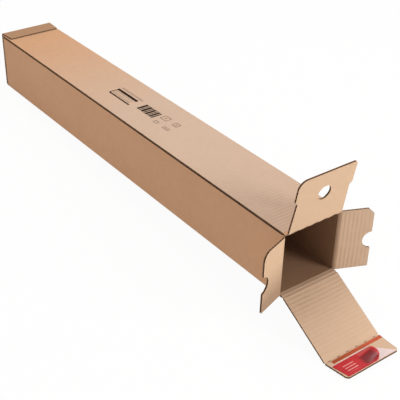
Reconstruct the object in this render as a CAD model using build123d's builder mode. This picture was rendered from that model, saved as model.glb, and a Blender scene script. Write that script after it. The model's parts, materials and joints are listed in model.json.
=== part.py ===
from build123d import *

import os
from math import cos, radians, sin, tan

# Square mailing tube of corrugated board for rolled sheets, folded from one blank.
# X runs across the tube, +Y along it towards the shut end, +Z up.
# The origin is the middle of the base, on its outer face.

# Tube and board
inner_width = 105.0
inner_height = 105.0
inner_length = 860.0
board = 3.0
long_fold_radius = 2.6
inner_fold_radius = 0.6

# Flutes of the board, open at the edges that they run out to
facing = 0.4
flute_pitch = 6.5
flute_wide = 4.4
flute_narrow = 1.1
flute_depth = 3.0
flute_margin = 1.0

# Creases: the board is crushed to a thin web, which a flap bends round
crease_web = 1.0
crease_slope = 30.0
crease_clearance = 0.3
nick_length = 9.0
nick_pitch = 18.0
nick_depth = 1.2

# Seam along the upper left edge
tab_width = 34.0
tab_setback = 9.0
tab_corner = 14.0

# Dust flaps at the sides of the open end
dust_gap = 1.6
left_dust_corner = 15.0
right_dust_corner = 9.5
left_dust_drop = 3.0
notch_radius = 14.5

# Top flap with its finger hole and ears
top_flap_gap = 11.5
top_root_inset = 4.0
top_waist_inset = 6.5
ear_inset = 2.0
ear_length = 36.0
ear_rise = 4.5
left_ear_radius = 14.0
right_ear_radius = 5.0
finger_hole_radius = 12.0
finger_hole_drop = 4.0

# Closing flap and its lip
closing_inset = 1.5
lip_depth = 43.0
lip_taper = 3.0
lip_corner = 3.5
shut_lip_depth = 38.0
shut_lip_taper = 2.5

# Tape, glue and liner on the lip
tear_strip_start = 3.2
tear_strip_width = 6.1
tear_strip_margin = 9.5
tear_strip_thickness = 0.3
glue_gap = 1.3
glue_margin = 1.0
glue_side_margin = 1.1
glue_corner_margin = 3.3
glue_bare_corner = 33.9
glue_thickness = 0.2
liner_setback = 1.6
liner_thickness = 0.35
liner_flat_end = -14.0
liner_lift = 7.0
liner_facets = 24
liner_end = 20.5
liner_end_slant = 10.0
liner_end_round = 14.0

# Angles of the flaps, from straight on, outwards
top_angle = 80.0
left_dust_angle = 72.0
right_dust_angle = 66.0
closing_angle = 30.5
lip_angle = -34.5

outer_width = inner_width + 2 * board
outer_height = inner_height + 2 * board
half_width = outer_width / 2
half_board = board / 2
crease_run = half_board / tan(radians(crease_slope))
layer_step = board + crease_clearance

side_crease_x = half_width - half_board
top_crease_z = outer_height - half_board
base_crease_z = half_board
side_crease_y = -(inner_length / 2 + half_board)
top_crease_y = side_crease_y - layer_step
base_crease_y = top_crease_y - layer_step
body_end_y = side_crease_y + crease_run
closing_length = outer_height + crease_clearance

closing_half = half_width - closing_inset
lip_end_half = closing_half - lip_taper
shut_lip_end_half = closing_half - shut_lip_taper
top_root_half = half_width - top_root_inset
top_waist_half = half_width - top_waist_inset
ear_half = half_width - ear_inset
top_flap_length = top_crease_z - board - top_flap_gap
ear_start = top_flap_length - ear_length
waist_end = ear_start - ear_rise
dust_length = side_crease_x - dust_gap / 2
finger_hole_height = outer_height / 2 - finger_hole_drop
flute_height = board - 2 * facing

shut_inside_y = inner_length / 2
shut_dust_y = shut_inside_y + board
shut_top_y = shut_dust_y + board
shut_outside_y = shut_top_y + board
top_hole_reach = top_crease_z - finger_hole_height


def cross_section(y):
    """Plane across the tube at y, with local x to the right and local y up."""
    return Plane.XZ.offset(-y)


def flap_plane(origin, along, outward):
    """Plane of a flap's middle layer, with local x along its crease and local y outwards."""
    return Plane(origin=origin, x_dir=along, z_dir=Vector(*along).cross(Vector(*outward)))


def edge_plane(flap, start, reach=0.0):
    """Plane square to a flap's crease, with local x outwards and local y through the board."""
    origin = flap.from_local_coords((start, reach, 0))
    return Plane(origin=origin, x_dir=flap.y_dir, z_dir=flap.x_dir)


def crease_nose(extension):
    """Edge of a panel at a crease: full board, crushed to a round web on the crease line."""
    with BuildSketch() as nose:
        with Locations((-crease_run - extension / 2, 0)):
            Rectangle(extension, board)
        Polygon((-crease_run, -half_board), (0, 0), (-crease_run, half_board), align=None)
        Circle(crease_web / 2)
    return nose.sketch


def crease_root():
    """What is cut from a flap's root, so that it clears the web and folds both ways."""
    with BuildSketch() as root:
        Circle(crease_web / 2 + crease_clearance)
        for side in (-1, 1):
            Polygon((0, 0), (crease_run, side * half_board), (0, side * board), align=None)
    return root.sketch


def nick_places(half_length):
    """Middles of the cuts along a crease, which let it fold sharply."""
    count = int(2 * half_length // nick_pitch)
    return [(i - (count - 1) / 2) * nick_pitch for i in range(count)]


def flute_row(start, stop):
    """Mouths of the flutes along an edge, in pairs, one on each side of the wave between."""
    count = int((stop - start - 2 * flute_margin) // flute_pitch)
    first = (start + stop - count * flute_pitch) / 2
    with BuildSketch() as row:
        for i in range(count):
            middle = first + (i + 0.5) * flute_pitch
            for side in (-1, 1):
                mouth = middle + side * flute_pitch / 4
                Polygon(
                    (mouth - flute_wide / 2, side * flute_height / 2),
                    (mouth + flute_wide / 2, side * flute_height / 2),
                    (mouth + flute_narrow / 2, -side * flute_height / 2),
                    (mouth - flute_narrow / 2, -side * flute_height / 2),
                    align=None,
                )
    return row.sketch


top_plane = flap_plane(
    (0, top_crease_y, top_crease_z),
    (1, 0, 0),
    (0, -cos(radians(top_angle)), sin(radians(top_angle))),
)
left_dust_plane = flap_plane(
    (-side_crease_x, side_crease_y, finger_hole_height),
    (0, 0, 1),
    (-sin(radians(left_dust_angle)), -cos(radians(left_dust_angle)), 0),
)
right_dust_plane = flap_plane(
    (side_crease_x, side_crease_y, finger_hole_height),
    (0, 0, 1),
    (sin(radians(right_dust_angle)), -cos(radians(right_dust_angle)), 0),
)
closing_plane = flap_plane(
    (0, base_crease_y, base_crease_z),
    (1, 0, 0),
    (0, -cos(radians(closing_angle)), -sin(radians(closing_angle))),
)
lip_fall = radians(closing_angle + lip_angle)
lip_plane = flap_plane(
    closing_plane.from_local_coords((0, closing_length, 0)),
    (1, 0, 0),
    (0, -cos(lip_fall), -sin(lip_fall)),
)

# Body: the four walls, the glue tab and the end that is folded and glued shut
with BuildPart() as tube_body:
    # Walls, rounded at three long folds and raw at the seam
    with BuildSketch(cross_section(shut_dust_y)) as walls:
        with Locations((0, outer_height / 2)):
            Rectangle(outer_width, outer_height)
        seam_corner = walls.vertices().group_by(Axis.Z)[-1].sort_by(Axis.X)[0]
        fillet(walls.vertices() - [seam_corner], radius=long_fold_radius)
        with BuildSketch(mode=Mode.SUBTRACT):
            with Locations((0, outer_height / 2)):
                RectangleRounded(inner_width, inner_height, inner_fold_radius)
    extrude(amount=shut_dust_y - body_end_y)

    # Left wall's fold under the top panel, which leaves a groove below the raw edge
    with BuildSketch(cross_section(shut_dust_y)) as groove:
        with Locations((-half_width, outer_height - board)):
            Rectangle(long_fold_radius, long_fold_radius, align=(Align.MIN, Align.MAX))
        with Locations((-half_width + long_fold_radius, outer_height - board - long_fold_radius)):
            Circle(long_fold_radius, mode=Mode.SUBTRACT)
    extrude(amount=shut_dust_y - body_end_y, mode=Mode.SUBTRACT)

    # Glue tab inside the top panel, with cut-back ends
    with BuildSketch(Plane.XY.offset(outer_height - 2 * board)):
        tab_end = inner_length / 2 - tab_setback
        Polygon(
            (-half_width + board, -tab_end),
            (-half_width + board + tab_width, -tab_end + tab_corner),
            (-half_width + board + tab_width, tab_end - tab_corner),
            (-half_width + board, tab_end),
            align=None,
        )
    extrude(amount=board)

    # Creased panel ends at the open end, each a layer further out than the one it covers
    top_edge = Plane(
        origin=(-half_width, top_crease_y, top_crease_z), x_dir=(0, -1, 0), z_dir=(1, 0, 0)
    )
    with BuildSketch(top_edge):
        add(crease_nose(layer_step))
    extrude(amount=outer_width - half_board)
    base_edge = Plane(
        origin=(-closing_half, base_crease_y, base_crease_z), x_dir=(0, -1, 0), z_dir=(1, 0, 0)
    )
    with BuildSketch(base_edge):
        add(crease_nose(2 * layer_step))
    extrude(amount=2 * closing_half)
    for side in (-1, 1):
        side_edge = Plane(
            origin=(side * side_crease_x, side_crease_y, board), x_dir=(0, -1, 0), z_dir=(0, 0, 1)
        )
        with BuildSketch(side_edge):
            add(crease_nose(half_board))
        extrude(amount=inner_height)

    # Nicks cut through the web of the top crease
    with BuildSketch(Plane.XY.offset(top_crease_z - half_board)):
        for place in nick_places(top_root_half):
            with Locations((place, top_crease_y)):
                Rectangle(nick_length, 2 * nick_depth)
    extrude(amount=board, mode=Mode.SUBTRACT)

    # Shut end, inner layer: the two dust flaps, notched, with a narrow gap between
    with BuildSketch(cross_section(shut_dust_y)) as shut_dust:
        with Locations((0, outer_height / 2)):
            Rectangle(inner_width, inner_height)
            Rectangle(2 * (side_crease_x - dust_length), inner_height, mode=Mode.SUBTRACT)
        with Locations((0, finger_hole_height)):
            Circle(notch_radius, mode=Mode.SUBTRACT)
    extrude(amount=board)

    # Middle layer: the top flap, folded down
    with BuildSketch(cross_section(shut_top_y)) as shut_top:
        Polygon(
            (-half_width, outer_height),
            (-ear_half, top_crease_z - ear_start),
            (-ear_half, top_crease_z - top_flap_length),
            (ear_half, top_crease_z - top_flap_length),
            (ear_half, top_crease_z - ear_start),
            (half_width, outer_height),
            align=None,
        )
        shut_tips = shut_top.vertices().sort_by(Axis.Z)[:2].sort_by(Axis.X)
        fillet(shut_tips[0], radius=left_ear_radius)
        fillet(shut_tips[1], radius=right_ear_radius)
        with Locations((0, finger_hole_height)):
            Circle(finger_hole_radius, mode=Mode.SUBTRACT)
    extrude(amount=board)

    # Outer layer: the closing flap, up from the base and over onto the top panel
    with BuildSketch(Plane.YZ.offset(-closing_half)) as shut_closing:
        with BuildLine():
            Polyline(
                (shut_inside_y - board, 0),
                (shut_outside_y, 0),
                (shut_outside_y, outer_height + board),
                (shut_outside_y - shut_lip_depth, outer_height + board),
                (shut_outside_y - shut_lip_depth, outer_height),
                (shut_top_y, outer_height),
                (shut_top_y, board),
                (shut_inside_y - board, board),
                close=True,
            )
        make_face()
        outside_corners = shut_closing.vertices().group_by(Axis.Y)[-1]
        fillet(outside_corners, radius=long_fold_radius)
    extrude(amount=2 * closing_half)

    # Flutes that run out at the sides of the outer layer
    for side in (-1, 1):
        shut_edge = Plane(
            origin=(side * closing_half, shut_outside_y - half_board, 0),
            x_dir=(0, 0, 1),
            z_dir=(1, 0, 0),
        )
        with BuildSketch(shut_edge):
            add(flute_row(long_fold_radius, outer_height))
        extrude(amount=-side * flute_depth, mode=Mode.SUBTRACT)

    # Lip of the shut end, tapered to its free edge
    for side in (-1, 1):
        with BuildSketch(Plane.XY.offset(outer_height)):
            Polygon(
                (side * closing_half, shut_outside_y),
                (side * shut_lip_end_half, shut_outside_y - shut_lip_depth),
                (side * outer_width, shut_outside_y - shut_lip_depth),
                (side * outer_width, shut_outside_y),
                align=None,
            )
        extrude(amount=board, mode=Mode.SUBTRACT)
tube_body.part.label = "tube_body"

# Top flap: waisted at the fold, eared beyond it, with a finger hole
with BuildPart() as top_flap:
    with BuildSketch(top_plane) as top_outline:
        with BuildLine():
            Polyline(
                (-top_root_half, 0),
                (-top_waist_half, waist_end),
                (-ear_half, ear_start),
                (-ear_half, top_flap_length),
                (ear_half, top_flap_length),
                (ear_half, ear_start),
                (top_waist_half, waist_end),
                (top_root_half, 0),
                close=True,
            )
        make_face()
        tips = top_outline.vertices().sort_by(Axis.Z)[-2:].sort_by(Axis.X)
        fillet(tips[0], radius=left_ear_radius)
        fillet(tips[1], radius=right_ear_radius)
        with Locations((0, top_crease_z - finger_hole_height)):
            Circle(finger_hole_radius, mode=Mode.SUBTRACT)
    extrude(amount=half_board, both=True)
    with BuildSketch(edge_plane(top_plane, -top_root_half)):
        add(crease_root())
    extrude(amount=2 * top_root_half, mode=Mode.SUBTRACT)
    for side in (-1, 1):
        flute_end = side * (top_waist_half - flute_depth)
        with BuildSketch(edge_plane(top_plane, flute_end)):
            add(flute_row(crease_run, top_flap_length - right_ear_radius))
        extrude(amount=side * (half_width - top_waist_half + flute_depth), mode=Mode.SUBTRACT)
top_flap.part.label = "top_flap"


def dust_flap(plane, top, corner, shape_corner):
    """One dust flap: notched for the finger hole, with its upper corner filleted or chamfered."""
    bottom = board + crease_clearance - finger_hole_height
    top_local = top - finger_hole_height
    with BuildPart() as flap:
        with BuildSketch(plane) as outline:
            with Locations(((bottom + top_local) / 2, dust_length / 2)):
                Rectangle(top_local - bottom, dust_length)
            far_corners = outline.vertices().sort_by(Axis.Y)[:2]
            shape_corner(far_corners.sort_by(Axis.Z)[-1], corner)
            with Locations((0, side_crease_x)):
                Circle(notch_radius, mode=Mode.SUBTRACT)
        extrude(amount=half_board, both=True)
        with BuildSketch(edge_plane(plane, bottom)):
            add(crease_root())
        extrude(amount=top_local - bottom, mode=Mode.SUBTRACT)
        for edge, inwards in ((bottom, 1), (top_local, -1)):
            with BuildSketch(edge_plane(plane, edge)):
                add(flute_row(crease_run, dust_length - corner))
            extrude(amount=inwards * flute_depth, mode=Mode.SUBTRACT)
    return flap


dust_top = outer_height - board - crease_clearance
left_dust_flap = dust_flap(
    left_dust_plane, dust_top - left_dust_drop, left_dust_corner, fillet
)
left_dust_flap.part.label = "left_dust_flap"
right_dust_flap = dust_flap(right_dust_plane, dust_top, right_dust_corner, chamfer)
right_dust_flap.part.label = "right_dust_flap"

# Closing flap: covers the end, with a second crease for its lip
with BuildPart() as closing_flap:
    with BuildSketch(closing_plane):
        Polygon(
            (-closing_half, 0),
            (-closing_half, closing_length - crease_run),
            (closing_half, closing_length - crease_run),
            (closing_half, 0),
            align=None,
        )
    extrude(amount=half_board, both=True)
    with BuildSketch(edge_plane(closing_plane, -closing_half, closing_length)):
        add(crease_nose(half_board))
    extrude(amount=2 * closing_half)
    with BuildSketch(edge_plane(closing_plane, -closing_half)):
        add(crease_root())
    extrude(amount=2 * closing_half, mode=Mode.SUBTRACT)

    # Nicks cut through the web of the lip's crease
    with BuildSketch(closing_plane.offset(-half_board)):
        for place in nick_places(closing_half):
            with Locations((place, closing_length)):
                Rectangle(nick_length, 2 * nick_depth)
    extrude(amount=board, mode=Mode.SUBTRACT)

    for side in (-1, 1):
        with BuildSketch(edge_plane(closing_plane, side * closing_half)):
            add(flute_row(crease_run, closing_length - crease_run))
        extrude(amount=-side * flute_depth, mode=Mode.SUBTRACT)
closing_flap.part.label = "closing_flap"

# Closing lip: tapered, and stuck down on the top panel when the tube is shut
with BuildPart() as closing_lip:
    with BuildSketch(lip_plane):
        Polygon(
            (-closing_half, 0),
            (-lip_end_half, lip_depth - lip_corner),
            (-lip_end_half + lip_corner, lip_depth),
            (lip_end_half - lip_corner, lip_depth),
            (lip_end_half, lip_depth - lip_corner),
            (closing_half, 0),
            align=None,
        )
    extrude(amount=half_board, both=True)
    with BuildSketch(edge_plane(lip_plane, -closing_half)):
        add(crease_root())
    extrude(amount=2 * closing_half, mode=Mode.SUBTRACT)
    for side in (-1, 1):
        with BuildSketch(edge_plane(lip_plane, side * closing_half)):
            add(flute_row(crease_run, lip_depth - lip_corner))
        extrude(amount=-side * (lip_taper + flute_depth), mode=Mode.SUBTRACT)
closing_lip.part.label = "closing_lip"

# The lip's inner face is on the negative side of its plane
lip_face = lip_plane.offset(-half_board)


def lip_side(reach):
    """Half width of the lip at a distance from its crease."""
    share = reach / (lip_depth - lip_corner)
    return closing_half + (lip_end_half - closing_half) * share


tear_strip_end = tear_strip_start + tear_strip_width
glue_start = tear_strip_end + glue_gap
glue_end = lip_depth - glue_margin
glue_start_half = lip_side(glue_start) - glue_side_margin
glue_end_half = lip_side(glue_end) - glue_corner_margin
liner_start = glue_start + liner_setback
liner_start_half = lip_side(liner_start) - glue_side_margin

# Tear strip: a tape along the lip's fold, which opens the tube again
with BuildPart() as tear_strip:
    with BuildSketch(lip_face):
        Polygon(
            (-closing_half + tear_strip_margin, tear_strip_start),
            (-closing_half + tear_strip_margin, tear_strip_end),
            (lip_side(tear_strip_end), tear_strip_end),
            (lip_side(tear_strip_start), tear_strip_start),
            align=None,
        )
    extrude(amount=-tear_strip_thickness)
tear_strip.part.label = "tear_strip"

# Adhesive strip: a band of glue, which leaves the lip's right corner bare
with BuildPart() as adhesive_strip:
    with BuildSketch(lip_face):
        Polygon(
            (-glue_start_half, glue_start),
            (-glue_end_half, glue_end),
            (glue_end_half, glue_end),
            (glue_start_half - glue_bare_corner, glue_start),
            align=None,
        )
    extrude(amount=-glue_thickness)
adhesive_strip.part.label = "adhesive_strip"

# Release liner: flat on the glue, then lifted into a sloping arch that ends free
liner_base = lip_plane.offset(-half_board - glue_thickness)

arch_top = liner_lift + liner_thickness
arch_slope = (
    liner_base.z_dir * arch_top - liner_base.x_dir * (liner_end - liner_flat_end)
)


def arch_section(inset, peak):
    """Half ellipse of the liner's arch at its free end, standing on the liner's two edges."""
    section_plane = Plane(
        origin=liner_base.from_local_coords((liner_end, 0, 0)),
        x_dir=liner_base.y_dir,
        z_dir=liner_base.x_dir,
    )
    middle = (liner_start + glue_end) / 2
    half_span = (glue_end - liner_start) / 2 - inset
    turns = [radians(180 * i / liner_facets) for i in range(liner_facets + 1)]
    with BuildSketch(section_plane) as section:
        Polygon(*[(middle - half_span * cos(turn), -peak * sin(turn)) for turn in turns], align=None)
    return section.sketch


with BuildPart() as release_liner:
    with BuildSketch(liner_base):
        Polygon(
            (-liner_start_half, liner_start),
            (-glue_end_half, glue_end),
            (liner_end, glue_end),
            (liner_end, liner_start),
            align=None,
        )
    extrude(amount=-liner_thickness)

    # The arch sinks into the flat film, and is open below
    extrude(arch_section(0, arch_top), amount=arch_slope.length, dir=arch_slope)
    extrude(
        arch_section(liner_thickness, liner_lift),
        amount=arch_slope.length,
        dir=arch_slope,
        mode=Mode.SUBTRACT,
    )
    with BuildSketch(liner_base):
        Rectangle(2 * closing_half, 2 * lip_depth)
    extrude(amount=2 * arch_top, mode=Mode.SUBTRACT)

    # Its free end is rounded at the corner by the lip's free edge
    with BuildSketch(liner_base.offset(liner_thickness)):
        round_start = (liner_end, glue_end - liner_end_round)
        round_end = (liner_end - liner_end_slant, glue_end)
        with BuildLine():
            TangentArc(round_start, round_end, tangent=(0, 1))
            Polyline(
                round_end,
                (round_end[0], glue_end + liner_setback),
                (liner_end + liner_setback, glue_end + liner_setback),
                (liner_end + liner_setback, round_start[1]),
                round_start,
            )
        make_face()
    extrude(amount=-2 * arch_top, mode=Mode.SUBTRACT)
release_liner.part.label = "release_liner"

os.makedirs("parts", exist_ok=True)
export_step(tube_body.part, "parts/tube_body.step")
export_step(top_flap.part, "parts/top_flap.step")
export_step(left_dust_flap.part, "parts/left_dust_flap.step")
export_step(right_dust_flap.part, "parts/right_dust_flap.step")
export_step(closing_flap.part, "parts/closing_flap.step")
export_step(closing_lip.part, "parts/closing_lip.step")
export_step(tear_strip.part, "parts/tear_strip.step")
export_step(adhesive_strip.part, "parts/adhesive_strip.step")
export_step(release_liner.part, "parts/release_liner.step")
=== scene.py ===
"""Square cardboard mailing tube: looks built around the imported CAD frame, as a Blender add-on."""

import json
import math
from collections import namedtuple
from types import SimpleNamespace

import bmesh
import bpy
from mathutils import Matrix, Vector


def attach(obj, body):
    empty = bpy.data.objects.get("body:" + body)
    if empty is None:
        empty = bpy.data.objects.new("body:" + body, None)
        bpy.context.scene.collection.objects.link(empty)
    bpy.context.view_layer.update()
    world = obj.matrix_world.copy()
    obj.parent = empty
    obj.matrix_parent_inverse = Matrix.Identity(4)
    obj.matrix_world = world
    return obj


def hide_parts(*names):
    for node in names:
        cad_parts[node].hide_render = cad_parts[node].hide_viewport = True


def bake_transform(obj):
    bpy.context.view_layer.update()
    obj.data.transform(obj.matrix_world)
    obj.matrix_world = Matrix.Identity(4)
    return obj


bl_info = {
    "name": "Cardboard mailing tube",
    "version": (1, 0, 0),
    "blender": (4, 5, 0),
    "location": "View3D > Sidebar > Tube",
    "description": "Builds a square corrugated mailing tube with open flaps and a peeled adhesive lip",
    "category": "Object",
}

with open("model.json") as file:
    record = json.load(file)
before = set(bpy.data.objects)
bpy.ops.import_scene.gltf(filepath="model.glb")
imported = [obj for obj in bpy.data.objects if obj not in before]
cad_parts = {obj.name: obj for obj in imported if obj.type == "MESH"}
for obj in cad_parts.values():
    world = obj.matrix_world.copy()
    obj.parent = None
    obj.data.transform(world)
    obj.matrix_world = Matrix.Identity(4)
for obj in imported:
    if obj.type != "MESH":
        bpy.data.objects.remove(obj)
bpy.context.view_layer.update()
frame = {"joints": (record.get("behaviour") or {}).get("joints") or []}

MM = 0.001
UV_NAME = "board_uv"
JOINTS = {joint["name"]: joint for joint in frame["joints"]}

# Material slots of a board piece
OUTSIDE, INSIDE, EDGE, MEDIUM_SHADE = range(4)

# A turn swings an outline on from its last point, by degrees about a centre, in count steps
Turn = namedtuple("Turn", "centre degrees count")

# Kraft noises, as scale, detail and roughness
FIBRE, STREAK = (1500.0, 5.0, 0.65), (210.0, 3.0, 0.5)
MOTTLE, CLOUD = (85.0, 4.0, 0.6), (12.0, 2.0, 0.5)
RIB_WARP, RIB_WEAR = (20.0, 2.0, 0.5), (30.0, 3.0, 0.6)

# Gaps in millimetres: at the seam, around the shut dust flaps, and under lip layers and the film
SEAM_GAP, SHUT_GAP, LAYER_GAP, FILM_GAP = 0.05, 0.2, 0.01, 0.04

# Cuts back at the ends of the creases, in millimetres
TOP_SHOULDER, TOP_RELIEF = 1.2, 1.5
DUST_SHOULDER, DUST_RELIEF = 0.9, 0.3
CREASE_NOTCH = 1.0

# Cuts across each flute of the medium, and between the walls' cuts in millimetres
FLUTE_CUTS, WALL_STEP = 8, 28.0

# Film, in millimetres: cuts across and along, how far in its corner's round comes, and its pale rim's
# start and end from the edge; the rim is a painted highlight
FILM_STEPS = (2.0, 1.0)
ROUND_INSET = 10.0
RIM_START, RIM_END = 1.0, 0.6

# Film's arch: how steeply it rises across, and how full it is on its near and on its far half
ARCH_RISE, ARCH_FULLNESS = 1.5, (2.5, 3.5)

# Printed bars, in millimetres: middle across, middle along, width and length of each
BARS = (
    (3.5, 58.2, 6.0, 62.4), (-15.8, 56.7, 3.4, 63.6), (-5.5, 88.0, 20.0, 2.4), (11.1, 56.0, 0.6, 66.0),
    (13.5, 56.0, 0.6, 66.0), (-11.5, 58.0, 0.5, 54.0), (-8.3, 58.0, 0.5, 54.0), (-2.7, 58.0, 0.7, 54.0),
    (8.0, -46.5, 13.0, 0.9), (8.0, -62.0, 13.0, 0.9), (1.9, -54.2, 0.8, 15.0), (14.1, -54.2, 0.8, 15.0),
    (8.0, -54.2, 6.0, 1.2), (-13.0, -50.5, 7.0, 0.9), (-13.0, -59.5, 7.0, 0.9), (-16.1, -55.0, 0.8, 8.6),
    (-9.9, -55.0, 0.8, 8.6), (8.4, -78.4, 11.0, 0.9), (8.4, -90.0, 11.0, 0.9), (3.3, -84.2, 0.9, 11.2),
    (13.5, -84.2, 0.9, 11.2), (8.4, -84.2, 5.0, 1.3), (-12.7, -77.5, 8.0, 1.1), (-12.7, -82.0, 8.0, 1.1),
    (-12.7, -86.5, 8.0, 1.1), (-12.7, -91.0, 8.0, 1.1),
)

# Printed stripes, in millimetres: length of each, gap, middle across, width, and where they start
STRIPES = (5.6, 2.4, 6.2, 3.0, 5.4, 2.6, 4.8, 3.2)
STRIPE_GAP, STRIPE_AT, STRIPE_WIDTH, STRIPE_START = 1.8, 0.2, 22.5, 7.4
INK_HEIGHT = 0.16

# Lamps' target in metres, share of white that the camera sees on the floor, and light of the world
LAMP_TARGET, FLOOR_WHITE = (0, -0.15, 0.03), 0.95
WHITE, WORLD_COLOUR = (1, 1, 1, 1), (1.0, 0.985, 0.97, 1.0)


def number(label, note, value, **kind):
    """Number property."""
    return bpy.props.FloatProperty(name=label, description=note, default=value, **kind)


def length(label, note, size):
    """Length property, given in millimetres and kept in metres."""
    return number(label, note, size * MM, unit="LENGTH", precision=5)


def angle(label, note, degrees):
    """Angle property, given in degrees."""
    return number(label, note, math.radians(degrees), subtype="ANGLE")


def level(label, note, value):
    """Plain number that isn't negative."""
    return number(label, note, value, min=0.0)


def vector(label, note, value, subtype, **limits):
    """Vector property."""
    return bpy.props.FloatVectorProperty(
        name=label, description=note, default=value, subtype=subtype, **limits
    )


def tint(label, note, colour):
    """Linear colour property."""
    return vector(label, note, colour, "COLOR", min=0.0, max=1.0)


class BoardProps(bpy.types.PropertyGroup):
    """Corrugated board"""

    thickness: length("Thickness", "Whole board", 3.0)
    facing: length("Facing", "Each of the two outer sheets, crushed by the cut", 0.60)
    medium: length("Medium", "Fluted sheet between the facings", 0.24)
    pitch: length("Flute pitch", "From one flute to the next", 6.5)
    crushed: length("Crushed thickness", "Board left in a crease", 1.3)
    crush_reach: length("Crush reach", "From a crease to full board", 2.6)


class WallProps(bpy.types.PropertyGroup):
    """Folded tube and its shut end"""

    half_width: length("Half width", "From the middle to a side's outer face", 55.5)
    height: length("Height", "From the base to the top's outer face", 111.0)
    fold_radius: length("Fold radius", "Outside of the long folds", 2.6)
    inner_radius: length("Inner radius", "Inside of the long folds", 0.6)
    wall_end: length("Wall end", "From the middle to the start of the creases", 428.9)
    seam_depth: length("Seam depth", "Open flutes behind the raw seam edge", 11.0)
    tab_width: length("Glue tab width", "Tab glued under the top panel", 34.0)
    tab_end: length("Glue tab end", "From the middle to the tab's end", 421.0)
    tab_corner: length("Glue tab corner", "Cut-back of the tab's ends", 14.0)
    shut_inside: length("Shut end", "From the middle to the shut end's inner face", 430.0)
    shut_lip_depth: length("Shut lip depth", "Lip glued on the top at the shut end", 38.0)
    shut_lip_half: length("Shut lip half width", "At the lip's free edge", 51.5)
    shut_fold_radius: length("Shut fold radius", "Middle of the board at the shut end's folds", 1.7)


class FlapProps(bpy.types.PropertyGroup):
    """Outlines of the flaps, from their creases, and how far they stand open"""

    bend_reach: length("Bend reach", "Board that bends on each side of a crease", 2.6)
    side_bend_reach: length("Side bend reach", "The same at the dust flaps", 2.2)
    top_bend: angle("Top flap angle", "From straight on, upwards", 80.0)
    left_bend: angle("Left dust flap angle", "From straight on, outwards", 72.0)
    right_bend: angle("Right dust flap angle", "From straight on, outwards", 66.0)
    closing_bend: angle("Closing flap angle", "From straight on, downwards", 30.5)
    lip_bend: angle("Lip angle", "From the closing flap, upwards", 34.5)
    nick_length: length("Nick length", "Each cut along the top crease", 9.0)
    nick_pitch: length("Nick pitch", "From one cut to the next", 18.0)
    nick_depth: length("Nick half depth", "Half of a cut's opening", 1.2)
    nick_shift: length("Nick shift", "From the crease to a cut's middle, towards the flap", 0.9)
    lip_nick_length: length("Lip nick length", "Each cut along the lip's crease", 5.0)
    lip_nick_depth: length("Lip nick half depth", "Half of such a cut's opening", 0.45)
    top_root: length("Top flap root", "Half width at the crease", 51.5)
    top_waist: length("Top flap waist", "Half width at the waist", 49.0)
    top_waist_end: length("Top flap waist end", "From the crease to the waist's end", 54.5)
    ear_half: length("Ear half width", "Half width over the ears", 53.5)
    ear_start: length("Ear start", "From the crease to the ears", 59.0)
    top_length: length("Top flap length", "From the crease to the free edge", 95.0)
    left_ear_radius: length("Left ear radius", "Round of the left ear", 14.0)
    right_ear_radius: length("Right ear radius", "Round of the right ear", 5.0)
    hole_radius: length("Finger hole radius", "Hole in the top flap", 12.0)
    hole_reach: length("Finger hole reach", "From the crease to the hole's middle", 58.0)
    hole_height: length("Finger hole height", "Hole's middle above the base when shut", 51.5)
    dust_length: length("Dust flap length", "From the crease to the free edge", 53.2)
    dust_bottom: length("Dust flap bottom", "Lower edge above the base", 3.3)
    left_dust_top: length("Left dust flap top", "Upper edge above the base", 104.7)
    right_dust_top: length("Right dust flap top", "Upper edge above the base", 107.7)
    left_dust_corner: length("Left dust flap corner", "Round of its upper corner", 15.0)
    right_dust_corner: length("Right dust flap corner", "Chamfer of its upper corner", 9.5)
    notch_radius: length("Notch radius", "Half-round notch of the dust flaps", 14.5)
    notch_reach: length("Notch reach", "From the crease to the notch's middle", 54.0)
    closing_half: length("Closing flap half width", "Half width of the closing flap", 54.0)
    closing_length: length("Closing flap length", "From its crease to the lip's crease", 111.3)
    lip_split: length("Lip split", "Part of the closing flap drawn with the lip", 9.0)
    lip_depth: length("Lip depth", "From the lip's crease to its free edge", 43.0)
    lip_half: length("Lip half width", "Half width near the free edge", 51.0)
    lip_corner: length("Lip corner", "Cut corners of the lip", 3.5)


class LipProps(bpy.types.PropertyGroup):
    """Tear strip, glue and liner, from the lip's crease"""

    strip_start: length("Tear strip start", "From the crease to the tape", 3.2)
    strip_end: length("Tear strip end", "From the crease to the tape's far side", 9.3)
    strip_margin: length("Tear strip margin", "Bare board at the tape's left end", 9.5)
    strip_thickness: length("Tear strip thickness", "Tape on the board", 0.25)
    glue_start: length("Glue start", "From the crease to the glue", 10.6)
    glue_end: length("Glue end", "From the crease to the glue's far side", 42.0)
    glue_start_half: length("Glue start half width", "Beside the tape", 52.1)
    glue_end_half: length("Glue end half width", "By the free edge", 47.5)
    glue_bare: length("Bare corner", "Where the glue's right side starts", 19.3)
    glue_thickness: length("Glue thickness", "Glue on the board", 0.2)
    liner_start: length("Liner start", "From the crease to the film", 12.2)
    liner_start_half: length("Liner half width", "Beside the tape", 51.9)
    liner_thickness: length("Liner thickness", "Film", 0.16)
    liner_flat_end: length("Flat film end", "Across the lip, where the film lifts", -14.0)
    liner_end: length("Liner end", "Across the lip, where the film ends", 20.5)
    liner_round: length("Liner corner round", "Round of the film's free corner", 14.0)
    liner_lift: length("Liner lift", "Height of the arch", 7.0)


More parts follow.
